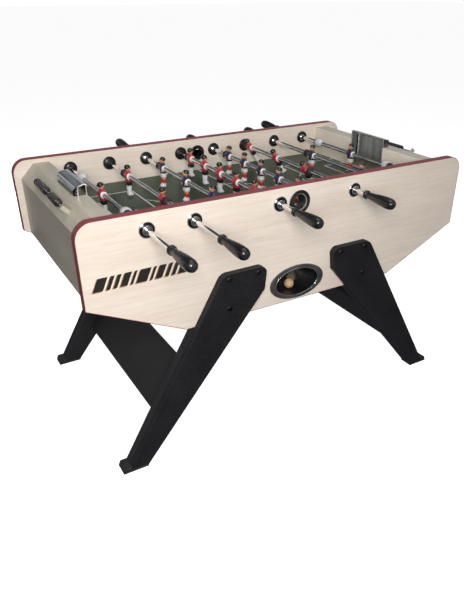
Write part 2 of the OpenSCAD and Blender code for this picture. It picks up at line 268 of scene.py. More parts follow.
def plastic(name, base, light, gloss, coat=0.0, grain=1040):
    """Moulded or extruded plastic with flow marks and a fine texture."""
    part = Finish(name)
    flow = part.noise(16, 3)
    fine = part.noise(grain, 2)
    colour = part.ramp(flow + fine * 0.25, (0.42, base), (0.82, light))
    colour = part.blend(part.edge_wear_and_highlight() * 0.35, colour, light)
    normal = part.bump(fine, depth=0.00012, strength=0.4)
    return part.close(
        base_color=colour, roughness=gloss + flow * 0.14, normal=normal,
        coat_weight=coat, coat_roughness=0.12,
    )


finishes["leg_laminate"] = speckled(
    "speckled black laminate", (0.007, 0.007, 0.010), (0.060, 0.060, 0.062), (0.012, 0.012, 0.015)
)
PLASTICS = {
    "edging": ("burgundy edging", (0.185, 0.026, 0.036), (0.26, 0.05, 0.06), 0.38),
    "black_plastic": ("black moulding", (0.006, 0.006, 0.007), (0.018, 0.018, 0.020), 0.24),
    "bezel": ("grey bezel", (0.035, 0.034, 0.033), (0.085, 0.083, 0.08), 0.20, 0.4),
    "foot_plastic": ("foot plastic", (0.01, 0.01, 0.01), (0.04, 0.04, 0.04), 0.45),
    "post_plastic": ("greige moulding", (0.36, 0.34, 0.28), (0.46, 0.44, 0.37), 0.36),
    "rubber_black": ("bumper rubber", (0.012, 0.012, 0.012), (0.03, 0.03, 0.03), 0.55),
    "keeper_stop": ("white stop", (0.50, 0.52, 0.56), (0.62, 0.63, 0.66), 0.22, 0.3),
    "grip_black": ("grip", (0.003, 0.003, 0.004), (0.012, 0.012, 0.013), 0.20, 0.0, 720),
    "grip_cap": ("grip cap", (0.006, 0.007, 0.012), (0.02, 0.02, 0.03), 0.06, 0.6),
    "bead_black": ("score bead", (0.004, 0.004, 0.006), (0.014, 0.013, 0.018), 0.14, 0.1),
    "ink": ("printed ink", (0.010, 0.009, 0.008), (0.022, 0.02, 0.018), 0.34),
    "ink_shadow": ("printed shade", (0.30, 0.15, 0.07), (0.36, 0.20, 0.10), 0.36),
}
for key, recipe in PLASTICS.items():
    finishes[key] = plastic(*recipe)

# %% [markdown]
# ## Metals
# The rods are chromed, and the bearings' rims and hubs are drawn steel round a chrome flange that
# is painted dark for the dark room it reflects. The goal hoods are polished sheet. The metals
# differ in how bright they are and in which way the fine marks run: round the rod for a turned
# part, and along the
# sheet for a rolled one. A hood's faces have five looks that paint what it reflects into the
# colour:
# reflection streaks on its top, upright highlight streaks on its lining, shade on its side and end
# plates, and a highlight on its folds.

# %% Make the metals


def metal(name, base, light, gloss, marks, depth=0.00003, haze_share=0.6):
    """Bare or plated metal with fine marks that are stretched along X, Y and Z."""
    part = Finish(name)
    haze = part.noise(22, 3)
    fine = part.noise(marks, 3)
    colour = part.ramp(haze * haze_share + fine * (1 - haze_share), (0.36, base), (0.64, light))
    rough = gloss + haze * 0.07 + fine * 0.06
    normal = part.bump(fine, depth, strength=0.25)
    return part.close(base_color=colour, metallic=1.0, roughness=rough, normal=normal)


UPRIGHT = (60, 60, 1.5)
METALS = {
    "chrome": ("chrome", (0.62, 0.63, 0.65), (0.84, 0.85, 0.86), 0.02, (90, 900, 90), 0.00001),
    "bright_steel": ("drawn steel", (0.50, 0.50, 0.50), (0.72, 0.72, 0.71), 0.14, (700, 60, 700)),
    # The flange chrome is painted dark for the dark room it reflects.
    "dark_chrome": ("dark chrome", (0.05, 0.05, 0.055), (0.12, 0.12, 0.13), 0.12, 400),
    # The hood looks paint reflections into the sheet: streaks on the top, upright highlight streaks
    # on the lining, shade on the side and end plates, a highlight on the folds.
    "hood_metal": (
        "polished sheet", (0.10, 0.13, 0.16), (0.92, 0.97, 1.0), 0.08, (75, 1.2, 75), 0.0007, 0.1
    ),
    "lining_metal": (
        "brushed lining", (0.50, 0.54, 0.60), (0.98, 0.99, 1.0), 0.36, UPRIGHT, 0.0004, 0.3
    ),
    "hood_side": ("dark side plate", (0.02, 0.03, 0.035), (0.08, 0.10, 0.11), 0.10, UPRIGHT),
    "hood_end": ("dark end plate", (0.16, 0.155, 0.15), (0.34, 0.33, 0.32), 0.08, UPRIGHT),
    "hood_fold": ("bright fold", (0.80, 0.83, 0.85), (0.98, 0.99, 1.0), 0.22, 60),
    "bolt_steel": ("black bolt", (0.015, 0.015, 0.017), (0.05, 0.05, 0.055), 0.42, 500),
}
for key, recipe in METALS.items():
    finishes[key] = metal(*recipe)

# %% [markdown]
# ## The field, the paint and the cork
# The field is a glossy dark green sheet with a slight mottle under its lacquer. The players are
# painted, so one finish reads the paint's colour from an attribute that each face carries, and
# adds what brushed-on gloss paint does: small changes of tone and an uneven shine. The ball is
# cork: warm, matt, full of darker grains.

# %% Make the field, the paint and the cork
field = Finish("green field")
mottle = field.noise(120, 3)
weave = field.noise(900, 2)
field_tone = field.ramp(mottle, (0.35, (0.012, 0.036, 0.018)), (0.65, (0.018, 0.050, 0.026)))
finishes["field"] = field.close(
    base_color=field_tone, roughness=0.26 + mottle * 0.08, specular_ior_level=0.20,
    normal=field.bump(weave, depth=0.00008, strength=0.3),
)

lines = Finish("white line paint")
chalk = lines.noise(160, 4)
line_tone = lines.ramp(chalk, (0.3, (0.52, 0.55, 0.52)), (0.6, (0.74, 0.76, 0.73)))
finishes["lines"] = lines.close(
    base_color=line_tone, roughness=0.30 + chalk * 0.15,
    normal=lines.bump(chalk, depth=0.00006, strength=0.3),
)

paint = Finish("player paint")
coat = paint.node("ShaderNodeAttribute", {"attribute_name": "paint"}, output="Color")
brush = paint.noise((240, 240, 90), 3)
shade = paint.ramp(brush, (0.3, (0.84, 0.84, 0.84)), (0.7, (1.0, 1.0, 1.0)))
multiply = {"data_type": "RGBA", "blend_type": "MULTIPLY"}
toned = paint.node("ShaderNodeMix", multiply, {0: 1.0, 6: coat, 7: shade}, 2)
finishes["paint"] = paint.close(
    base_color=toned, roughness=0.20 + brush * 0.2, coat_weight=0.35, coat_roughness=0.15,
    normal=paint.bump(brush, depth=0.00015, strength=0.3),
)

cork = Finish("cork")
values = {"Vector": cork.here, "Scale": 330}
grains = cork.node("ShaderNodeTexVoronoi", None, values, "Distance")
crumbs = cork.noise(190, 4)
CORK_STOPS = (
    (0.30, (0.22, 0.11, 0.05)), (0.46, (0.58, 0.37, 0.22)), (0.75, (0.74, 0.52, 0.34))
)
finishes["cork"] = cork.close(
    base_color=cork.ramp(crumbs, *CORK_STOPS), roughness=0.72 + crumbs * 0.2,
    normal=cork.bump(grains + crumbs, depth=0.0005, strength=0.6),
)

# %% [markdown]
# ## Turning a drawing into a piece
# Each shape is drawn in a bmesh and then settled: its doubles are merged, its faces are turned
# outward, it is brought to metres, shaded smooth except at real corners, given its looks, and set
# to ride on its node's body, and the node that it stands for is hidden.

# %% The settling helpers
MERGE = 0.0005


def linked(name, data):
    """A new object in the scene."""
    thing = bpy.data.objects.new(name, data)
    scene.collection.objects.link(thing)
    return thing


def meshed(name, shape):
    """A mesh in metres from a bmesh that was drawn in millimetres."""
    bmesh.ops.remove_doubles(shape, verts=shape.verts, dist=MERGE)
    bmesh.ops.recalc_face_normals(shape, faces=shape.faces)
    mesh = bpy.data.meshes.new(name)
    shape.to_mesh(mesh)
    shape.free()
    mesh.transform(Matrix.Scale(MM, 4))
    return mesh


def settle(name, mesh, looks, node, corner=35, weighted=False):
    """Makes a finished mesh into a named piece that rides on its node's body."""
    thing = linked(name, mesh)
    if mesh.materials:
        mesh.materials.clear()
    for look in looks:
        mesh.materials.append(finishes[look])
    mesh.shade_smooth()
    if not weighted:
        mesh.set_sharp_from_angle(angle=math.radians(corner))
    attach(thing, next(body for body, nodes in record_bodies.items() if node in nodes))
    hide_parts(node)
    print("piece", name, len(mesh.polygons), "faces")
    return thing


def drawn(name, shape, looks, node, corner=35):
    """Settles a bmesh that was drawn in millimetres."""
    return settle(name, meshed(name, shape), looks, node, corner)


def plain_mesh(carrier):
    """The mesh that an object's modifiers make; the object itself is then removed."""
    bpy.context.view_layer.update()
    evaluated = carrier.evaluated_get(bpy.context.evaluated_depsgraph_get())
    mesh = bpy.data.meshes.new_from_object(evaluated)
    bpy.data.objects.remove(carrier)
    return mesh


# %% [markdown]
# ## Boards with eased edges
# A real board has no knife-sharp edge: the saw's arris is eased with a scraper, and that thin
# rounding is what catches the light. The board's outline is right in the frame, so each board is
# a copy of its node with doubles merged, flat triangles joined, and a narrow bevel all round.

# %% Dress a node's copy
FRAME_MERGE = 2e-6
FLAT_ANGLE = math.radians(0.4)
EASE_ANGLE = math.radians(32)
FOLD_ANGLE = math.radians(20)
BROAD_AREA = 600 * MM**2


def is_fold(edge):
    """True between two broad faces that meet at a clear angle."""
    broad = min(face.calc_area() for face in edge.link_faces) > BROAD_AREA
    return broad and edge.calc_face_angle() > FOLD_ANGLE


def dressed(name, node, looks, ease=0.6, steps=2, choose=None, fold=None):
    """A copy of a node with eased edges.

    choose(middle, normal) picks a face's look. fold is a radius and a look for the outer folds
    of bent sheet, which are far rounder than its cut edges; the fold look paints a highlight on
    them.
    """
    shape = bmesh.new()
    shape.from_mesh(frame["nodes"][node].data)
    bmesh.ops.remove_doubles(shape, verts=shape.verts, dist=FRAME_MERGE)
    bmesh.ops.dissolve_limit(
        shape, angle_limit=FLAT_ANGLE, verts=shape.verts, edges=shape.edges
    )
    for face in shape.faces:
        face.material_index = 0
        if choose:
            face.material_index = choose(face.calc_center_median() / MM, face.normal)
    if fold:
        radius, fold_look = fold
        folds = [edge for edge in shape.edges if edge.is_convex and is_fold(edge)]
        bmesh.ops.bevel(
            shape, geom=folds, offset=radius * MM, segments=4, profile=0.5, affect="EDGES",
            material=fold_look,
        )
    mesh = bpy.data.meshes.new(name)
    shape.to_mesh(mesh)
    shape.free()
    carrier = linked(name + "_carrier", mesh)
    bevel = carrier.modifiers.new("ease", "BEVEL")
    bevel.width = ease * MM
    bevel.segments = steps
    bevel.limit_method = "ANGLE"
    bevel.angle_limit = EASE_ANGLE
    bevel.use_clamp_overlap = False
    mesh.shade_smooth()
    carrier.modifiers.new("weight", "WEIGHTED_NORMAL").keep_sharp = True
    return settle(name, plain_mesh(carrier), looks, node, weighted=True)


# %% [markdown]
# ## The cabinet
# The two side panels with their edging, the end boards, the goal walls, the floor and the field
# are dressed copies. A small function can pick the look of each face, so that an end board is
# pale where it faces the field, and a hood's top, lining, sides and folds get their own painted
# reflections, shade and highlights.

# %% Dress the cabinet
dressed("front_side_panel", "front_panel", ["laminate"], 0.4)
dressed("back_side_panel", "back_panel", ["laminate"], 0.4)
dressed("panel_edging", "edge_bands", ["edging"], 0.9, 3)


def facing_field(middle, normal):
    """The end boards are pale on the side that faces the field."""
    return 1 if normal.x * middle.x < 0 and abs(normal.x) > 0.9 else 0


def hood_side(middle, normal):
    """Painted reflection streaks on the top and painted highlight streaks on the lining; painted
    shade on the end plates and the side away from the field.
    """
    if abs(normal.z) > 0.1:
        return 0
    if abs(normal.y) > 0.7:
        return 3
    return 2 if normal.x * middle.x > 0 and abs(normal.x) > 0.7 else 1


END_LOOKS = ["shelf_laminate", "cross_laminate"]
HOOD_LOOKS = ["hood_metal", "lining_metal", "hood_side", "hood_end", "hood_fold"]
HOOD_FOLD = (3.0, HOOD_LOOKS.index("hood_fold"))
dressed("end_boards", "end_caps", END_LOOKS, 0.8, 2, facing_field)
dressed("goal_wall_boards", "goal_walls", ["cross_laminate"], 0.6)
dressed("floor_boards", "cabinet_base", ["shelf_laminate"], 0.6)
dressed("green_field_sheet", "playfield", ["field"], 0.3)
# The hood faces get painted reflection streaks, painted shade and painted fold highlights.
dressed("goal_linings", "goal_hoods", HOOD_LOOKS, 0.3, 2, hood_side, HOOD_FOLD)

# %% [markdown]
# ## The legs
# Each leg is two boards: an outer one lapped over the side panel and an inner one under it, and
# a brace board joins the front and back legs at each end. They are thick boards with a rounded
# edge, so they get a wider easing than the cabinet. The feet are moulded shoes.

# %% Dress the legs
dressed("leg_boards_outer", "leg_outer_boards", ["leg_laminate"], 1.6, 3)
dressed("leg_boards_inner", "leg_inner_boards", ["leg_laminate"], 1.2, 2)
dressed("leg_brace_boards", "leg_braces", ["leg_laminate"], 1.2, 2)
dressed("leg_shoes", "leg_feet", ["foot_plastic"], 1.5, 3)

# %% [markdown]
# ## Turned shapes
# Bearings, discs, grips, bumpers, bolts and beads are all turned or moulded round one axis. A
# lathe function takes a profile of (distance along the axis, radius) pairs and spins it. It is
# written here rather than done with the Screw modifier, so that each shape can be placed and
# pointed as it is made and its faces can carry a look of their own.

# %% The lathe


def turned(shape, profile, place=(0, 0, 0), along=(0, 1, 0), sides=48, ring=False, look=0):
    """Spins a profile about the line from place along a direction. ring closes it on itself."""
    place, axis = Vector(place), Vector(along).normalized()
    across = axis.orthogonal().normalized()
    beside = axis.cross(across)
    rows = []
    for distance, radius in profile:
        middle = place + axis * distance
        if radius < 1e-6:
            rows.append([shape.verts.new(middle)])
            continue
        angles = [2 * math.pi * i / sides for i in range(sides)]
        spokes = [across * math.cos(a) + beside * math.sin(a) for a in angles]
        rows.append([shape.verts.new(middle + spoke * radius) for spoke in spokes])
    pairs = list(zip(rows, rows[1:])) + ([(rows[-1], rows[0])] if ring else [])
    for first, second in pairs:
        for i in range(sides):
            corners = [first[i % len(first)], first[(i + 1) % len(first)]]
            corners += [second[(i + 1) % len(second)], second[i % len(second)]]
            unique = list(dict.fromkeys(corners))
            if len(unique) > 2:
                shape.faces.new(unique).material_index = look
    return shape


# %% [markdown]
# ## Hand grips
# A grip is a black moulding pressed on the tube: a ribbed collar, a slim neck for the fingers, a
# body that swells towards the palm, and a glossy cap let into its end. The whole outline is one
# lathe profile, and the cap is spun separately so that it can shine.

# %% Turn the grips
GRIP_OUTLINE = (
    (101, 0), (101, 8.1), (0, 8.1), (0, 12.0), (0.5, 13.2), (1.6, 14.2), (3.2, 14.5), (4.6, 14.3),
    (5.4, 13.5), (6.2, 13.3), (7.0, 13.9), (8.4, 14.4), (9.8, 14.2), (10.8, 13.2), (11.6, 12.2),
    (13, 11.5), (15.5, 11.1), (19, 11.0), (23, 11.4), (28, 12.0), (37, 13.0), (48, 14.2),
    (60, 15.4), (72, 16.6), (82, 17.5), (92, 18.2), (102, 18.5), (110, 18.45), (117, 18.1),
    (123, 17.2), (127, 16.0), (130, 14.4), (131.6, 13.2), (131.9, 12.5), (131.2, 11.9), (131.2, 0),
)
CAP_OUTLINE = (
    (130.8, 0), (130.8, 11.7), (132.0, 11.6), (133.3, 10.2), (134.6, 7.6), (135.6, 4.2), (136, 0)
)

for number, rod in rods.items():
    grip = bmesh.new()
    start = (rod["place"].x, rod["collar"], rod["place"].z)
    outward = (0, rod["side"], 0)
    turned(grip, GRIP_OUTLINE, start, outward, 48)
    turned(grip, CAP_OUTLINE, start, outward, 48, look=1)
    looks = ["grip_black", "grip_cap"]
    drawn(f"hand_grip_{number}", grip, looks, f"grip_{number}", 50)

# %% [markdown]
# ## Rods
# The rod is telescopic: a thin inner rod spins in a socket in the far wall, and the thicker tube
# slides along it. Both are plain chromed stock with a small chamfer at the ends, so a dressed
# copy of each is all they need.

# %% Dress the rods
for number in rods:
    dressed(f"thin_rod_{number}", f"inner_rod_{number}", ["chrome"], 0.5)
    dressed(f"sliding_tube_{number}", f"rod_tube_{number}", ["chrome"], 0.4)

# %% [markdown]
# ## Bumpers
# Outside the end players each tube has a black rubber ring that softens the stop against the
# wall. A goalkeeper's rod also has a white domed stop inside the ring. Each is a closed ring
# round the tube, with the grooves that rubber rings have.

# %% Turn the bumpers
BORE = 8.1


def band(length):
    """A rubber ring's profile: two soft shoulders and a groove."""
    return (
        (0, BORE), (0, 12.6), (0.6, 13.8), (1.8, 14.5), (length * 0.42, 14.5),
        (length * 0.47, 13.9), (length * 0.53, 13.9), (length * 0.58, 14.5),
        (length - 2.0, 14.5), (length - 0.6, 13.8), (length, 12.6), (length, BORE),
    )


STOP = (
    (12.2, BORE), (12.2, 17.6), (12.8, 18.6), (14, 19), (24, 19), (29, 18.5), (34, 16.9),
    (38, 14.8), (41.5, 12.2), (43.4, 10.4), (44.6, 9.2), (45.2, BORE),
)
BUMPER_LENGTHS = {1: 12, 2: 24, 3: 17.5, 5: 13}

for number, rod in rods.items():
    low, high, _ = box_mm(f"bumpers_{number}")
    rings = bmesh.new()
    for end, inward in ((low.y, 1), (high.y, -1)):
        start = (rod["place"].x, end, rod["place"].z)
        turned(rings, band(BUMPER_LENGTHS[rod["count"]]), start, (0, inward, 0), 40, ring=True)
        if rod["count"] == 1:
            turned(rings, STOP, start, (0, inward, 0), 40, ring=True, look=1)
    looks = ["rubber_black", "keeper_stop"]
    drawn(f"bumper_rings_{number}", rings, looks, f"bumpers_{number}", 50)

# %% [markdown]
# ## Growing what repeats
# Players along a rod, screws round a disc, discs along a wall and beads on a rail are one shape
# many times over. Three small Geometry Nodes recipes cover them: a row with a step, a ring with
# a radius, and a set of marked places. Each ends in Realize Instances and Set Material, and its
# result is taken as a plain mesh, so that nothing is left to evaluate later. The carrier object
# only lives while its modifier is evaluated, and inputs are set by the socket's identifier.

# %% A recipe


class Recipe(Sheet):
    """A Geometry Nodes tree with named inputs."""

    def __init__(self, title, **sockets):
        super().__init__(bpy.data.node_groups.new(title, "GeometryNodeTree"))
        self.add_socket("Mesh", "OUTPUT", "Geometry")
        kinds = {**sockets, "Finish": "Material"}
        self.identifiers = {name: self.add_socket(name, "INPUT", kinds[name]) for name in kinds}
        outputs = self.tree.nodes.new("NodeGroupInput").outputs
        self.given = {socket.name: Wire(self, socket) for socket in outputs if socket.name}

    def add_socket(self, name, way, kind):
        kind = "NodeSocket" + kind
        return self.tree.interface.new_socket(name=name, in_out=way, socket_type=kind).identifier

    def finish(self, shape):
        """Realizes the shape and gives it its finish."""
        real = self.node("GeometryNodeRealizeInstances", None, {"Geometry": shape})
        values = {"Geometry": real, "Material": self.given["Finish"]}
        self.end("NodeGroupOutput", self.node("GeometryNodeSetMaterial", None, values))

    def repeat(self, points, turn):
        """Sets the given shape on every point and finishes the result."""
        settings, values = {"transform_space": "ORIGINAL"}, {"Object": self.given["Shape"]}
        shape = self.node("GeometryNodeObjectInfo", settings, values, "Geometry")
        rotation = self.node("FunctionNodeEulerToRotation", None, {0: turn})
        values = {"Points": points, "Instance": shape, "Rotation": rotation}
        self.finish(self.node("GeometryNodeInstanceOnPoints", None, values))

    def grown(self, look, mesh=None, **values):
        """Evaluates the recipe on a mesh and returns the plain result."""
        carrier = linked("carrier", mesh or bpy.data.meshes.new("marks"))
        modifier = carrier.modifiers.new("grow", "NODES")
        modifier.node_group = self.tree
        for key, value in {**values, "Finish": finishes[look]}.items():
            modifier[self.identifiers[key]] = value
        return plain_mesh(carrier)


# %% The three recipes
row = Recipe("row", Shape="Object", Count="Int", First="Vector", Step="Vector", Turn="Vector")
values = {"Count": row.given["Count"], "Start Location": row.given["First"]}
values["Offset"] = row.given["Step"]
row.repeat(row.node("GeometryNodeMeshLine", {"mode": "OFFSET"}, values), row.given["Turn"])

ring = Recipe("ring", Shape="Object", Count="Int", Radius="Float")
values = {"Vertices": ring.given["Count"], "Radius": ring.given["Radius"]}
ring.repeat(ring.node("GeometryNodeMeshCircle", None, values), (0, 0, 0))

places = Recipe("places", Points="Geometry", Shape="Object")
vector = {"data_type": "FLOAT_VECTOR"}
turn = places.node("GeometryNodeInputNamedAttribute", vector, {"Name": "turn"})
places.repeat(places.given["Points"], turn)
print("recipes", [made.tree.name for made in (row, ring, places)])

# %% Helpers for shapes and marks


def pattern(shape):
    """A helper object to repeat, in metres, from a bmesh drawn in millimetres."""
    return linked("pattern", meshed("pattern", shape))


def marked(points):
    """A mesh of bare points from pairs of a place, in millimetres, and a turn."""
    mesh = bpy.data.meshes.new("marks")
    mesh.from_pydata([Vector(place) * MM for place, _ in points], [], [])
    turns = mesh.attributes.new("turn", "FLOAT_VECTOR", "POINT")
    turns.data.foreach_set("vector", [value for _, turn in points for value in turn])
    return mesh

# %% [markdown]
# ## A player's body
# A player is one moulding: boots on a small base, two legs, shorts, a shirt with sleeves, a
# head with a plain face and a cap of hair, and a white hub that clamps the rod. Each part is a
# loft: a stack of rounded outlines given by height, middle and half sizes. The faces carry
# their paint, so a colour ends exactly where the part does.

# %% The loft


def painted(shape, faces, paint):
    """Gives the faces a paint, kept in an attribute on their corners."""
    layers = shape.loops.layers.float_color
    layer = layers.get("paint") or layers.new("paint")
    for face in faces:
        for loop in face.loops:
            loop[layer] = (*paint, 1)


def lofted(shape, sections, paint, sides=16, middle=(0, 0)):
    """Stacks rounded outlines (z, x, half x, half y, squareness) and skins them in one paint."""
    rows = []
    for z, x, half_x, half_y, square in sections:
        row_of_points = []
        for i in range(sides):
            angle = 2 * math.pi * i / sides
            reach = [
                math.copysign(abs(v) ** (2 / square), v) for v in (math.cos(angle), math.sin(angle))
            ]
            place = (middle[0] + x + half_x * reach[0], middle[1] + half_y * reach[1], z)
            row_of_points.append(shape.verts.new(place))
        rows.append(row_of_points)
    faces = [shape.faces.new(rows[0][::-1]), shape.faces.new(rows[-1])]
    for first, second in zip(rows, rows[1:]):
        for i in range(sides):
            j = (i + 1) % sides
            faces.append(shape.faces.new((first[i], first[j], second[j], second[i])))
    painted(shape, faces, paint)


def egg(shape, middle, radii, paint, steps=8, sides=16):
    """An ellipsoid as a loft."""
    angles = [math.pi * (i + 0.35) / (steps + 0.7) - math.pi / 2 for i in range(steps + 1)]
    sections = [
        (middle[2] + radii[2] * math.sin(a), 0, radii[0] * math.cos(a), radii[1] * math.cos(a), 2)
        for a in angles
    ]
    lofted(shape, sections, paint, sides, middle[:2])


# %% A player's outlines and colours
HAIR = (0.010, 0.008, 0.008)
SKIN = (0.66, 0.32, 0.17)
WHITE = (0.80, 0.81, 0.82)
BLACK = (0.012, 0.012, 0.014)
CRIMSON = (0.50, 0.028, 0.065)
NAVY = (0.012, 0.022, 0.075)
RED = (0.55, 0.03, 0.045)
HUB_BODY = ((-15.4, BORE), (-15.4, 12.2), (-14.6, 12.6), (14.6, 12.6), (15.4, 12.2), (15.4, BORE))
HUB_FRONT = ((-17.4, BORE), (-17.4, 10.6), (-16.8, 11.6), (-15.2, 12.0), (-15.2, BORE))
HUB_BACK = tuple((-y, radius) for y, radius in reversed(HUB_FRONT))

BOOT = (
    (-70, 3.0, 9.6, 4.7, 5), (-69.2, 3.0, 10, 5.1, 5), (-65.5, 2.8, 9.8, 5.1, 4),
    (-62.5, 1.2, 8.2, 4.9, 3), (-57, -0.4, 6.4, 4.5, 2.5),
)
SOCK = (
    (-60, -0.6, 5.6, 4.1, 2.3), (-56, -0.5, 5.9, 4.3, 2.3), (-48, -0.2, 7.3, 5.2, 2.3),
    (-42, 0, 7.5, 5.3, 2.3), (-41, 0, 7.1, 5.1, 2.3),
)
THIGH = ((-43, 0.1, 6.8, 4.9, 2.3), (-38, 0.1, 7.0, 5.3, 2.3), (-29, 0, 8.0, 6.2, 2.3))
SHORTS_LEG = ((-33.5, 0.1, 9.0, 6.5, 3), (-32.5, 0.1, 9.5, 6.9, 3), (-24, 0, 9.8, 6.8, 3))
HIPS = (
    (-27, 0, 9.7, 13.2, 3.2), (-24, 0, 9.9, 13.4, 3), (-20, 0, 10.0, 13.2, 2.8),
    (-15, 0, 9.6, 12.6, 2.6),
)
BODY = (
    (-19, 0.1, 10.2, 13.3, 2.6), (-18, 0.2, 10.8, 13.9, 2.6), (-10, 0.5, 10.9, 13.7, 2.6),
    (0, 0.9, 11.2, 14.4, 2.6), (8, 0.8, 10.6, 15.2, 2.5), (13, 0.4, 9.2, 13.4, 2.4),
    (17, 0.2, 6.8, 8.8, 2.2), (18.5, 0.2, 5.2, 5.8, 2.0),
)
SLEEVE = (
    (0, 1.6, 4.0, 2.6, 2.5), (1.5, 1.5, 5.0, 3.6, 2.5), (8, 0.9, 5.8, 4.4, 2.3),
    (13, 0.4, 5.0, 3.8, 2.2), (16, 0.2, 2.8, 2.0, 2.2),
)
ARM = (
    (-12, 10.6, 2.2, 2.2, 2.2), (-9, 10.6, 2.8, 2.7, 2.2), (-3, 9.4, 2.8, 2.6, 2.2),
    (4, 5.0, 3.0, 2.7, 2.2),
)
NECK = ((14, 0.4, 5.2, 5.2, 2), (23, 0.8, 5.0, 5.0, 2))
NOSE = ((25.6, 10.4, 1.3, 1.4, 2), (26.6, 11.2, 1.5, 1.5, 2), (30.6, 10.2, 1.0, 1.0, 2))
LIPS = (0.42, 0.16, 0.11)

# %% Model a player


def player(shirt, shorts, thigh, sock, boot):
    """One player, drawn about the rod's axis and facing +X."""
    man = bmesh.new()
    limbs = (
        (BOOT, boot, 16, 5.3), (SOCK, sock, 16, 5.3), (THIGH, thigh, 16, 5.8),
        (SHORTS_LEG, shorts, 16, 6.9), (SLEEVE, shirt, 14, 13.0), (ARM, SKIN, 10, 12.4),
    )
    for side in (-1, 1):
        for outline, colour, sides, away in limbs:
            lofted(man, outline, colour, sides, (0, side * away))
        egg(man, (1.2, side * 9.6, 27.2), (2.3, 1.2, 3.2), SKIN, 4, 8)
        egg(man, (10.4, side * 3.7, 29.6), (0.9, 1.25, 0.8), HAIR, 4, 8)
    lofted(man, HIPS, shorts)
    lofted(man, BODY, shirt)
    lofted(man, NECK, SKIN, 12)
    egg(man, (1, 0, 28.6), (10.4, 9.4, 11.2), SKIN)
    lofted(man, NOSE, SKIN, 8)
    egg(man, (10.3, 0, 22.6), (0.8, 2.5, 0.45), LIPS, 4, 8)
    egg(man, (-0.9, 0, 31.9), (11.3, 11.0, 9.0), HAIR, 8, 18)
    for outline, colour in ((HUB_BODY, shirt), (HUB_FRONT, WHITE), (HUB_BACK, WHITE)):
        before = set(man.faces)
        turned(man, outline, sides=28, ring=True)
        painted(man, set(man.faces) - before, colour)
    return pattern(man)


teams = {
    -1: (player(CRIMSON, BLACK, WHITE, WHITE, WHITE), "red_team"),
    1: (player(NAVY, WHITE, SKIN, RED, WHITE), "navy_team"),
}
for figure, slot_name in teams.values():
    print(slot_name, "figure", len(figure.data.polygons), "faces")

# %% [markdown]
# ## Players on their rods
# A row of players is a count and a step. The first place is worked out from the rod's middle,
# and the turn sets the feet where the rod has been left.

# %% Grow the players
for number, rod in rods.items():
    figure, slot_name = teams[rod["side"]]
    step = PLAYER_SPACING[rod["count"]]
    first = rod["place"] - Vector((0, step * (rod["count"] - 1) / 2, 0))
    mesh = row.grown(
        "paint", Shape=figure, Count=rod["count"], First=list(first * MM),
        Step=[0, step * MM, 0], Turn=list(rod["turn"]),
    )
    settle(f"players_{number}", mesh, ["paint"], f"men_{number}", 50)
for figure, _ in teams.values():
    bpy.data.objects.remove(figure)

# %% [markdown]
# ## Bearings
# Where a tube comes out of the cabinet it runs in a steel bush. A bright rim and a polished flange
# inside it, painted dark for the dark room it reflects, are pressed to the panel, and the bright
# hub stands out of them. Each is drawn once, pointing along +Y, and set on the marked places. On
# the near side it is turned half round.

# %% Grow the bearings
PANEL_OUTSIDE = box_mm("back_panel")[1].y
PANEL_INSIDE = box_mm("back_panel")[0].y
HALF_TURN = (0, 0, math.pi)
NO_TURN = (0, 0, 0)
RIM_RING = (
    (0.1, 21.3), (0.1, 25), (1.8, 25), (3.2, 24.5), (4.0, 23.7), (4.2, 22.6), (3.9, 21.7),
    (3.0, 21.3),
)
FLANGE = (
    (0.1, 15.4), (0.1, 21.3), (2.6, 21.3), (2.8, 20.6), (4.5, 19.3), (4.9, 18.2), (4.6, 17.0),
    (3.0, 16.4), (3.0, 15.4),
)
HUB = (
    (-35, 8.05), (-35, 12.3), (0.2, 12.3), (0.2, 15.2), (8.4, 15.0), (9.5, 14.5), (10, 13.6),
    (10, 11.7), (9.3, 11.1), (9.3, 10.2), (9.9, 9.6), (9.9, 8.05),
)


def planted(name, shape, look, points, node, corner=35):
    """Sets one pattern on marked places and settles the result."""
    thing = pattern(shape)
    mesh = places.grown(look, marked(points), Shape=thing)
    bpy.data.objects.remove(thing)
    return settle(name, mesh, [look], node, corner)


def facing(side, out=True):
    """The turn for a shape drawn along +Y so that it points out of, or into, the cabinet."""
    return NO_TURN if (side > 0) == out else HALF_TURN


grip_places = [
    ((rod["place"].x, rod["side"] * PANEL_OUTSIDE, rod["place"].z), facing(rod["side"]))
    for rod in rods.values()
]
for name, profile, look in (
    ("bearing_rims", RIM_RING, "bright_steel"),
    # The flange is painted dark for the dark room it reflects.
    ("bearing_flanges", FLANGE, "dark_chrome"),
    ("bearing_hubs", HUB, "bright_steel"),
):
    shape = turned(bmesh.new(), profile, sides=56, ring=True)
    planted(name, shape, look, grip_places, "rod_bearings", 50)

# %% [markdown]
# ## Wall discs
# Inside the cabinet every rod passes a black disc. On the grip side it is a ring round the bush,
# and on the far side it is a socket that holds the thin rod's end. Three small screws sit in the
# disc's groove: the ring recipe makes the three, and the places recipe sets them on each disc.

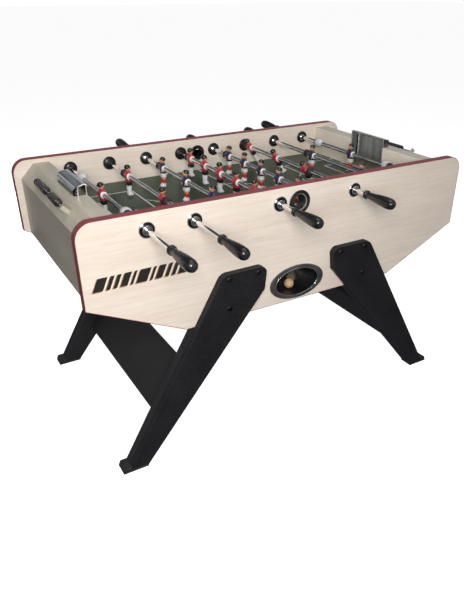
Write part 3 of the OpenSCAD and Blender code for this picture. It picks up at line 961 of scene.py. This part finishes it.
# %% Grow the wall discs
RIM = ((0, 25), (3.2, 25), (4.4, 24.4), (5, 23.2), (5, 21.4), (4.2, 20.7), (4.2, 16.4), (5, 15.6))
SLEEVE_DISC = ((0, 12.5), *RIM, (5, 12.5))
SOCKET_DISC = ((-19.5, 0), (-19.5, 12.3), (0, 12.3), *RIM, (5, 5.05), (-16, 5.05), (-16, 0))
SCREW = ((-0.5, 0), (-0.5, 2.2), (0, 2.6), (0.6, 2.5), (1.1, 1.9), (1.2, 1.2), (0.5, 1.0), (0.5, 0))
SCREW_CIRCLE, GROOVE_FLOOR = 18.5, 4.2
near_discs, far_discs = [], []
for rod in rods.values():
    for side, discs in ((rod["side"], near_discs), (-rod["side"], far_discs)):
        place = (rod["place"].x, side * PANEL_INSIDE, rod["place"].z)
        discs.append((place, facing(side, out=False)))

look = "black_plastic"
sleeve = turned(bmesh.new(), SLEEVE_DISC, sides=48, ring=True)
planted("wall_discs_sleeve", sleeve, look, near_discs, "inner_discs", 50)
socket = turned(bmesh.new(), SOCKET_DISC, sides=48)
planted("wall_discs_socket", socket, look, far_discs, "inner_discs", 50)

one_screw = pattern(turned(bmesh.new(), SCREW, along=(0, 0, 1), sides=12))
screw_ring = ring.grown("bolt_steel", Shape=one_screw, Count=3, Radius=SCREW_CIRCLE * MM)
upright = Matrix.Rotation(-math.pi / 2, 4, "X")
screw_ring.transform(Matrix.Translation((0, GROOVE_FLOOR * MM, 0)) @ upright)
three_screws = linked("pattern", screw_ring)
screws = places.grown("bolt_steel", marked(near_discs + far_discs), Shape=three_screws)
for helper in (one_screw, three_screws):
    bpy.data.objects.remove(helper)
settle("wall_disc_screws", screws, ["bolt_steel"], "inner_discs", 50)

# %% [markdown]
# ## Leg bolts
# Three bolts clamp each leg to its panel. Each has a low domed head with a round socket, a
# shank through both boards and a nut inside the cabinet.

# %% Grow the leg bolts
BOLT = (
    (-61, 0), (-61, 9), (-55, 9), (-55, 4), (0.1, 4), (0.1, 9.8), (0.8, 9.9), (2.2, 8.6),
    (3.4, 6.4), (4, 4.8), (4, 3.7), (1.2, 3.5), (1.2, 0),
)
BOLT_PLACES = ((168, 618), (275, 618), (275, 515))
leg_face = box_mm("leg_outer_boards")[1].y
bolt_points = [
    ((end * x, side * leg_face, z), facing(side))
    for side in (-1, 1) for end in (-1, 1) for x, z in BOLT_PLACES
]
bolt = turned(bmesh.new(), BOLT, sides=24)
planted("leg_bolt_set", bolt, "bolt_steel", bolt_points, "leg_bolts", 40)

# %% [markdown]
# ## Ball cups
# A round cup on each long side lets the ball in, and an oval cup at the front gives it back. The
# cups are black mouldings. The oval one has a grey bezel with a thin bright trim near its inner
# edge, which is swept round the oval here.

# %% Dress the cups and sweep the trim
RETURN_CENTRE = Vector((0, -PANEL_OUTSIDE, 537))
ENTRY_BOTTOM = 700
TRIM_HALF_X, TRIM_HALF_Z, TRIM_AHEAD, TRIM_RADIUS = 87.5, 49.5, 5.8, 0.9


def cup_look(middle, normal):
    """The bezel's face and outer rim are grey; everything else is black."""
    if middle.z > ENTRY_BOTTOM or middle.y > 0.5 - PANEL_OUTSIDE:
        return 0
    outward = (middle - RETURN_CENTRE).dot(normal) > 0 and abs(normal.y) < 0.5
    return 1 if normal.y < -0.5 or outward else 0


dressed("cup_mouldings", "ball_cups", ["black_plastic", "bezel"], 0.8, 3, cup_look)


def oval_bead(shape, half_x, half_z, place, radius, sides=96, corners=12):
    """A round bead swept along an oval in the XZ plane."""
    rows = []
    for i in range(sides):
        a = 2 * math.pi * i / sides
        out = Vector((math.cos(a) / half_x, 0, math.sin(a) / half_z)).normalized()
        middle = place + Vector((half_x * math.cos(a), 0, half_z * math.sin(a)))
        turns = [2 * math.pi * j / corners for j in range(corners)]
        row = [middle + radius * (out * math.cos(b) + Vector((0, math.sin(b), 0))) for b in turns]
        rows.append([shape.verts.new(point) for point in row])
    for i, row in enumerate(rows):
        following = rows[(i + 1) % sides]
        for j in range(corners):
            k = (j + 1) % corners
            shape.faces.new((row[j], following[j], following[k], row[k]))
    return shape


trim_centre = RETURN_CENTRE - Vector((0, TRIM_AHEAD, 0))
trim = oval_bead(bmesh.new(), TRIM_HALF_X, TRIM_HALF_Z, trim_centre, TRIM_RADIUS)
drawn("return_cup_trim", trim, ["bright_steel"], "ball_cups")

# %% [markdown]
# ## Cork ball
# The ball is turned from pressed cork, so it is round but never smooth. Its surface is moved by
# a fixed noise of a fifth of a millimetre, and the finish adds the grain.

# %% Make the ball
ball_low, ball_high, ball_middle = box_mm("ball")
ball_radius = (ball_high.x - ball_low.x) / 2
ROOM_FOR_BUMPS, BUMP_HEIGHT = 0.25, 0.16
ball = bmesh.new()
bmesh.ops.create_icosphere(ball, subdivisions=5, radius=ball_radius - ROOM_FOR_BUMPS)
for vert in ball.verts:
    way = vert.co.normalized()
    rough = noise.noise(way * 9) + 0.6 * noise.noise(way * 22)
    vert.co += way * rough * BUMP_HEIGHT
    vert.co += ball_middle
drawn("cork_ball", ball, ["cork"], "ball", 180)

# %% [markdown]
# ## Score rails and beads
# A rail stands on two posts on the bevel of each end board, with ten black beads on it. On the
# left rail six beads are pushed back and four stand apart from them, so the beads are set on
# marked places rather than grown as one row.

# %% Make the rails and beads
BEAD_PITCH = 20.2
BEAD = (
    (0, 3.55), (0, 9.4), (0.8, 11.6), (2.6, 13), (17.4, 13), (19.2, 11.6), (20, 9.4), (20, 3.55)
)
LEFT_GAP = 53.2
RAIL_END = 162


def rail_look(middle, normal):
    """The posts at the ends of a rail match the shelf and the rail is chrome."""
    return 1 if abs(middle.y) > RAIL_END else 0


RAIL_LOOKS = ["chrome", "post_plastic"]
dressed("score_rails", "scorer_rods", RAIL_LOOKS, 0.8, 2, rail_look)
for end, gap in (("left", LEFT_GAP), ("right", 0)):
    node = f"scorer_beads_{end}"
    low, _, middle = box_mm(node)
    groups = ((low.y, 4), (low.y + 4 * BEAD_PITCH + gap, 6))
    points = [
        ((middle.x, first + i * BEAD_PITCH, middle.z), NO_TURN)
        for first, count in groups for i in range(count)
    ]
    bead = turned(bmesh.new(), BEAD, sides=28, ring=True)
    planted(f"score_beads_{end}", bead, "bead_black", points, node, 50)

# %% [markdown]
# ## Lines on the field
# The lines are printed on the sheet: a halfway line and circle, and at each end a penalty area,
# a goal area, a spot and an arc. Each line is a path, and a Geometry Nodes recipe gives every
# path the same flat strip, a fifth of a millimetre proud of the field.

# %% The line recipe
strip = Recipe("line", Paths="Geometry", Width="Float", Height="Float")
path = strip.node("GeometryNodeMeshToCurve", None, {"Mesh": strip.given["Paths"]})
path = strip.node("GeometryNodeSetCurveNormal", {"mode": "Z_UP"}, {"Curve": path})
values = {key: strip.given[key] for key in ("Width", "Height")}
outline = strip.node("GeometryNodeCurvePrimitiveQuadrilateral", {"mode": "RECTANGLE"}, values)
values = {"Curve": path, "Profile Curve": outline, "Fill Caps": True}
strip.finish(strip.node("GeometryNodeCurveToMesh", None, values))
print("recipe", strip.tree.name, len(strip.tree.nodes), "nodes")

# %% Draw the paths
field_high = box_mm("playfield")[1]
FIELD_END, FIELD_SIDE = field_high.x - 0.5, field_high.y - 0.5
LINE_WIDTH, LINE_HEIGHT, LINE_RISE = 5.0, 0.3, 0.1
CIRCLE, SPOT = 113, 3
PENALTY_X, PENALTY_Y, PENALTY_SPOT = 344, 217, 411
GOAL_X, GOAL_Y = 498, 139


def arc_points(x, radius, start=0, stop=360, steps=48):
    angles = [math.radians(start + (stop - start) * i / steps) for i in range(steps + 1)]
    return [(x + radius * math.cos(a), radius * math.sin(a)) for a in angles]


half_line = LINE_WIDTH / 2
paths = [[(0, -FIELD_SIDE), (0, FIELD_SIDE)], arc_points(0, CIRCLE), arc_points(0, SPOT, steps=16)]
arc_limit = math.degrees(math.acos((PENALTY_SPOT - PENALTY_X) / CIRCLE))
for end in (-1, 1):
    for x, y in ((PENALTY_X, PENALTY_Y), (GOAL_X, GOAL_Y)):
        paths.append([(end * x, -y - half_line), (end * x, y + half_line)])
        paths += [[(end * FIELD_END, side * y), (end * x, side * y)] for side in (-1, 1)]
    spot_x = end * PENALTY_SPOT
    paths.append(arc_points(spot_x, SPOT, steps=16))
    toward = 180 if end > 0 else 0
    paths.append(arc_points(spot_x, CIRCLE, toward - arc_limit, toward + arc_limit))
print(len(paths), "paths")

# %% Grow the lines
corners, edges = [], []
for path in paths:
    start = len(corners)
    corners += [Vector((x, y, field_high.z + LINE_RISE)) * MM for x, y in path]
    edges += [(start + i, start + i + 1) for i in range(len(path) - 1)]
marks = bpy.data.meshes.new("paths")
marks.from_pydata(corners, edges, [])
line_mesh = strip.grown("lines", marks, Width=LINE_WIDTH * MM, Height=LINE_HEIGHT * MM)
heights = [vert.co.z / MM for vert in line_mesh.vertices]
print("lines stand from", round(min(heights), 2), "to", round(max(heights), 2), "mm")
settle("field_lines", line_mesh, ["lines"], "playfield", 30)

# %% [markdown]
# ## Printed motif
# The near side panel has a dark print low on its left. Here it is a plain decoration with no
# letters in it: a run of leaning bars of changing width, each with a warm shade behind it. The
# bars are thin printed layers, a tenth of a millimetre thick.

# %% Print the motif
MOTIF_LEFT, MOTIF_LOW, MOTIF_HIGH, LEAN = -700, 668, 708, 0.45
BAR_WIDTHS = (30, 12, 12, 22, 8, 34, 8, 22, 12, 12, 30)
BAR_GAP, SHADE_SHIFT = 9, 2.5
INK_HEIGHT, SHADE_HEIGHT, INK_ROOT = 0.12, 0.06, 0.02


def bar_print(shape, left, width, shift, front, look):
    """One leaning bar as a closed thin layer on the panel's face."""
    left, low, high = left - shift, MOTIF_LOW - shift, MOTIF_HIGH - shift
    outline = [(left, low), (left + width, low), (left + width, high), (left, high)]
    layers = []
    for y in (-PANEL_OUTSIDE + INK_ROOT, -PANEL_OUTSIDE - front):
        layers.append([shape.verts.new((x + LEAN * (z - MOTIF_LOW), y, z)) for x, z in outline])
    back, face = layers
    for loop in (back, face[::-1]):
        shape.faces.new(loop).material_index = look
    for i in range(4):
        j = (i + 1) % 4
        shape.faces.new((back[i], face[i], face[j], back[j])).material_index = look


motif = bmesh.new()
left = MOTIF_LEFT
for width in BAR_WIDTHS:
    bar_print(motif, left, width, SHADE_SHIFT, SHADE_HEIGHT, 1)
    bar_print(motif, left, width, 0, INK_HEIGHT, 0)
    left += width + BAR_GAP
print("motif ends at", round(left), "mm")
drawn("panel_motif", motif, ["ink", "ink_shadow"], "front_panel")

# %% [markdown]
# ## Floor, light and camera
# The studio is plain: a pale floor, one soft lamp close to the camera, a large dim one overhead,
# two behind the table and an even surround. The surround is darker above than at the horizon,
# because polished rods need something dark to reflect. The camera sees it as plain white, and
# stands at the near left corner, above the rods.

# %% Lay the floor
FLOOR_HALF = 40
floor_shape = bmesh.new()
bmesh.ops.create_grid(floor_shape, x_segments=1, y_segments=1, size=FLOOR_HALF)
floor_mesh = bpy.data.meshes.new("studio_floor")
floor_shape.to_mesh(floor_mesh)
floor_shape.free()
floor = linked("studio_floor", floor_mesh)
ground = Finish("pale floor")
dust = ground.noise(3, 3)
floor_tone = ground.ramp(dust, (0.3, (0.90, 0.90, 0.90)), (0.7, (0.93, 0.93, 0.93)))
floor_mesh.materials.append(ground.close(
    base_color=floor_tone, roughness=0.9, emission_color=(1.0, 1.0, 1.0), emission_strength=0.84
))
floor.visible_diffuse = False
floor.visible_glossy = False

# %% Set the surround
world = bpy.data.worlds.new("studio")
scene.world = world
world.use_nodes = True
sky = Sheet(world.node_tree)
sky.tree.nodes.clear()
direction = sky.node("ShaderNodeTexCoord", output="Generated")
upward = sky.node("ShaderNodeSeparateXYZ", None, {"Vector": direction}, "Z")
SKY_STOPS = (
    (0.0, (0.10, 0.10, 0.11)), (0.48, (0.11, 0.11, 0.12)), (0.54, (0.58, 0.58, 0.58)),
    (0.62, (0.40, 0.40, 0.41)), (0.72, (0.10, 0.10, 0.11)), (1.0, (0.06, 0.06, 0.07)),
)
WHITE_SKY = (1.0, 1.0, 1.0, 1)
glow = sky.node("ShaderNodeValToRGB", {"stops": SKY_STOPS}, {"Fac": upward * 0.5 + 0.5})
seen = sky.node("ShaderNodeLightPath", output="Is Camera Ray")
shown = sky.node("ShaderNodeMix", {"data_type": "RGBA"}, {0: seen, 6: glow, 7: WHITE_SKY}, 2)
sky.end("ShaderNodeOutputWorld", sky.node("ShaderNodeBackground", None, {"Color": shown}))
print("surround", len(sky.tree.nodes), "nodes")

# %% Hang the lamps


def lamp(name, place, target, size, power, tint=(1.0, 1.0, 1.0), mirrored=True):
    """A square soft lamp aimed at a point. mirrored=False keeps it out of reflections."""
    light = bpy.data.lights.new(name, "AREA")
    light.size = size
    light.energy = power
    light.color = tint
    thing = linked(name, light)
    thing.location = place
    thing.visible_glossy = mirrored
    thing.rotation_euler = (Vector(target) - Vector(place)).to_track_quat("-Z", "Y").to_euler()
    print("lamp", name, power, "W")


lamp("near_lamp", (-1.2, -2.25, 1.7), (-0.25, 0, 0.72), 0.9, 59, (1.0, 0.965, 0.93))
lamp("overhead_lamp", (0.2, -0.3, 3.4), (0, 0, 0.7), 2.4, 35)
lamp("far_lamp", (1.9, 2.9, 1.3), (0.1, 0.2, 0.6), 2.0, 34, (0.97, 0.98, 1.0), mirrored=False)
lamp("back_lamp", (-0.3, 3.0, 0.42), (-0.1, 0.385, 0.6), 1.6, 26, mirrored=False)
scene.view_settings.view_transform = "Standard"

# %% Place the camera
IMAGE_WIDTH, IMAGE_HEIGHT = 464, 599
FOCAL = 608.675
CENTRE = (257.74, 312.61)
camera_data = bpy.data.cameras.new("camera")
camera_data.lens = FOCAL / IMAGE_HEIGHT * camera_data.sensor_width
camera_data.shift_x = (IMAGE_WIDTH / 2 - CENTRE[0]) / IMAGE_HEIGHT
camera_data.shift_y = (CENTRE[1] - IMAGE_HEIGHT / 2) / IMAGE_HEIGHT
camera = linked("camera", camera_data)
camera.location = (-1.102474, -1.927893, 1.443535)
camera.rotation_euler = [math.radians(a) for a in (61.374, -0.39, -31.339)]
scene.camera = camera
shifts = [round(shift, 4) for shift in (camera_data.shift_x, camera_data.shift_y)]
print("lens", round(camera_data.lens, 2), "shift", shifts)
